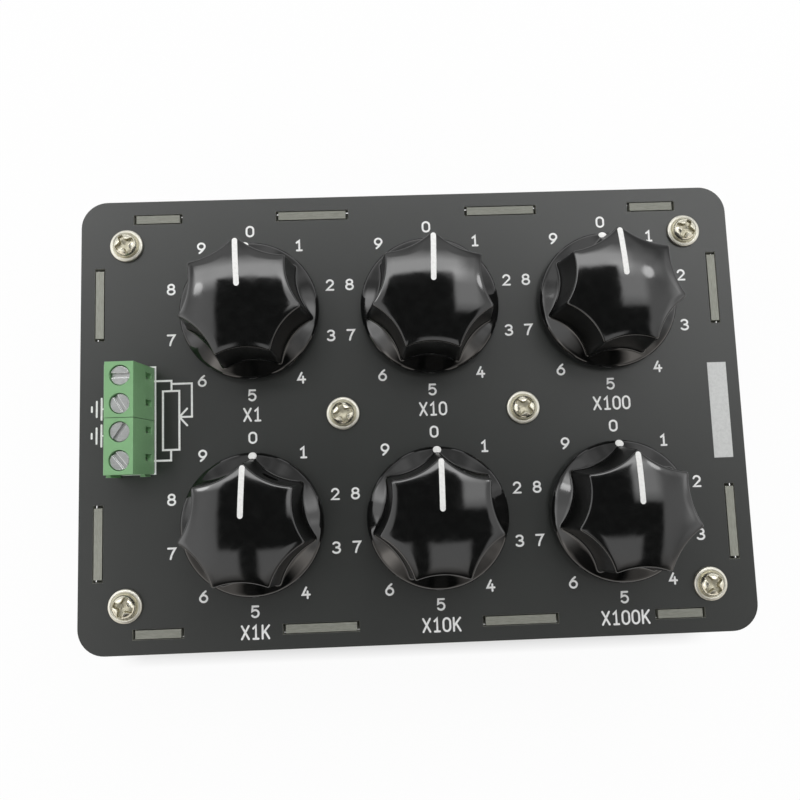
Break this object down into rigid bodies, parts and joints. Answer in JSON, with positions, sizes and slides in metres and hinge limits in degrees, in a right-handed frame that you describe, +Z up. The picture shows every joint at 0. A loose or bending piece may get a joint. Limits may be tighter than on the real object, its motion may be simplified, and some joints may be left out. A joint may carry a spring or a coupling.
{
  "type": "decade resistance box",
  "caption": "Flat bench box of slotted black circuit boards with fluted decade dials in two rows, screw terminals at one end and rotary switches inside.",
  "frame": {"origin": "on the plane of the lower screw heads, under the middle of the panels", "axes": "+X along the panel's long side towards the end away from the terminals, +Y to the rear edge, +Z up through the dials"},
  "size_m": [0.125, 0.085, 0.0437],
  "materials": {
    "board_black": "black solder-masked glass-fibre board, raw edges",
    "board_green": "green solder-masked glass-fibre board",
    "brass": "turned brass",
    "nickel": "bright nickel plate",
    "zinc": "zinc-plated steel",
    "spring_steel": "drawn steel",
    "dark_steel": "blackened steel",
    "tinned": "tin plate",
    "bronze": "spring bronze",
    "moulded_brown": "moulded phenolic",
    "nylon": "natural nylon",
    "chip_black": "glazed chip",
    "knob_black": "polished black phenolic with a white pointer",
    "terminal_green": "green moulded plastic"
  },
  "bodies": {
    "case": {"top_panel": "board_black", "bottom_panel": "board_black", "front_wall": "board_black", "rear_wall": "board_black", "left_wall": "board_black", "right_wall": "board_black", "spacers": "brass", "top_screws": "nickel", "bottom_screws": "nickel", "switch_cups": "moulded_brown", "switch_bushes": "nickel", "lock_washers": "nickel", "switch_nuts": "nickel", "detent_springs": "spring_steel", "contact_wafers": "moulded_brown", "fixed_contacts": "tinned", "resistor_board": "board_green", "resistors": "chip_black", "link_wires": "tinned", "terminal_block_rear": "terminal_green", "terminal_block_front": "terminal_green", "terminal_pins": "tinned"},
    "dial_x1": {"knob_x1": "knob_black", "set_screw_x1": "dark_steel", "shaft_x1": "spring_steel", "rotor_x1": "nylon", "wiper_x1": "bronze"},
    "dial_x10": {"knob_x10": "knob_black", "set_screw_x10": "dark_steel", "shaft_x10": "spring_steel", "rotor_x10": "nylon", "wiper_x10": "bronze"},
    "dial_x100": {"knob_x100": "knob_black", "set_screw_x100": "dark_steel", "shaft_x100": "spring_steel", "rotor_x100": "nylon", "wiper_x100": "bronze"},
    "dial_x1k": {"knob_x1k": "knob_black", "set_screw_x1k": "dark_steel", "shaft_x1k": "spring_steel", "rotor_x1k": "nylon", "wiper_x1k": "bronze"},
    "dial_x10k": {"knob_x10k": "knob_black", "set_screw_x10k": "dark_steel", "shaft_x10k": "spring_steel", "rotor_x10k": "nylon", "wiper_x10k": "bronze"},
    "dial_x100k": {"knob_x100k": "knob_black", "set_screw_x100k": "dark_steel", "shaft_x100k": "spring_steel", "rotor_x100k": "nylon", "wiper_x100k": "bronze"},
    "clamp_screw_1": {"terminal_screw_1": "zinc"},
    "cage_1": {"clamp_cage_1": "tinned"},
    "clamp_screw_2": {"terminal_screw_2": "zinc"},
    "cage_2": {"clamp_cage_2": "tinned"},
    "clamp_screw_3": {"terminal_screw_3": "zinc"},
    "cage_3": {"clamp_cage_3": "tinned"},
    "clamp_screw_4": {"terminal_screw_4": "zinc"},
    "cage_4": {"clamp_cage_4": "tinned"}
  },
  "joints": [
    {"name": "dial_x1_turn", "type": "hinge", "parent": "case", "child": "dial_x1", "pos_m": [-0.0303, 0.0201, 0.0302], "axis": [0, 0, -1], "range_deg": [0, 324]},
    {"name": "dial_x10_turn", "type": "hinge", "parent": "case", "child": "dial_x10", "pos_m": [0.0037, 0.0201, 0.0302], "axis": [0, 0, -1], "range_deg": [0, 324]},
    {"name": "dial_x100_turn", "type": "hinge", "parent": "case", "child": "dial_x100", "pos_m": [0.0377, 0.0201, 0.0302], "axis": [0, 0, -1], "range_deg": [0, 324]},
    {"name": "dial_x1k_turn", "type": "hinge", "parent": "case", "child": "dial_x1k", "pos_m": [-0.0303, -0.0197, 0.0302], "axis": [0, 0, -1], "range_deg": [0, 324]},
    {"name": "dial_x10k_turn", "type": "hinge", "parent": "case", "child": "dial_x10k", "pos_m": [0.0037, -0.0197, 0.0302], "axis": [0, 0, -1], "range_deg": [0, 324]},
    {"name": "dial_x100k_turn", "type": "hinge", "parent": "case", "child": "dial_x100k", "pos_m": [0.0377, -0.0197, 0.0302], "axis": [0, 0, -1], "range_deg": [0, 324]},
    {"name": "clamp_screw_1_turn", "type": "hinge", "parent": "case", "child": "clamp_screw_1", "pos_m": [-0.05195, 0.0075, 0.0302], "axis": [0, 0, -1], "range_deg": [0, 1600]},
    {"name": "cage_1_lift", "type": "slide", "parent": "case", "child": "cage_1", "axis": [0, 0, 1], "range_m": [0, 0.002]},
    {"name": "clamp_screw_2_turn", "type": "hinge", "parent": "case", "child": "clamp_screw_2", "pos_m": [-0.05195, 0.0025, 0.0302], "axis": [0, 0, -1], "range_deg": [0, 1600]},
    {"name": "cage_2_lift", "type": "slide", "parent": "case", "child": "cage_2", "axis": [0, 0, 1], "range_m": [0, 0.002]},
    {"name": "clamp_screw_3_turn", "type": "hinge", "parent": "case", "child": "clamp_screw_3", "pos_m": [-0.05195, -0.0025, 0.0302], "axis": [0, 0, -1], "range_deg": [0, 1600]},
    {"name": "cage_3_lift", "type": "slide", "parent": "case", "child": "cage_3", "axis": [0, 0, 1], "range_m": [0, 0.002]},
    {"name": "clamp_screw_4_turn", "type": "hinge", "parent": "case", "child": "clamp_screw_4", "pos_m": [-0.05195, -0.0075, 0.0302], "axis": [0, 0, -1], "range_deg": [0, 1600]},
    {"name": "cage_4_lift", "type": "slide", "parent": "case", "child": "cage_4", "axis": [0, 0, 1], "range_m": [0, 0.002]}
  ],
  "couplings": [
    {"joint": "clamp_screw_1_turn", "follows": "cage_1_lift", "rad_per_m": 13963},
    {"joint": "clamp_screw_2_turn", "follows": "cage_2_lift", "rad_per_m": 13963},
    {"joint": "clamp_screw_3_turn", "follows": "cage_3_lift", "rad_per_m": 13963},
    {"joint": "clamp_screw_4_turn", "follows": "cage_4_lift", "rad_per_m": 13963}
  ]
}
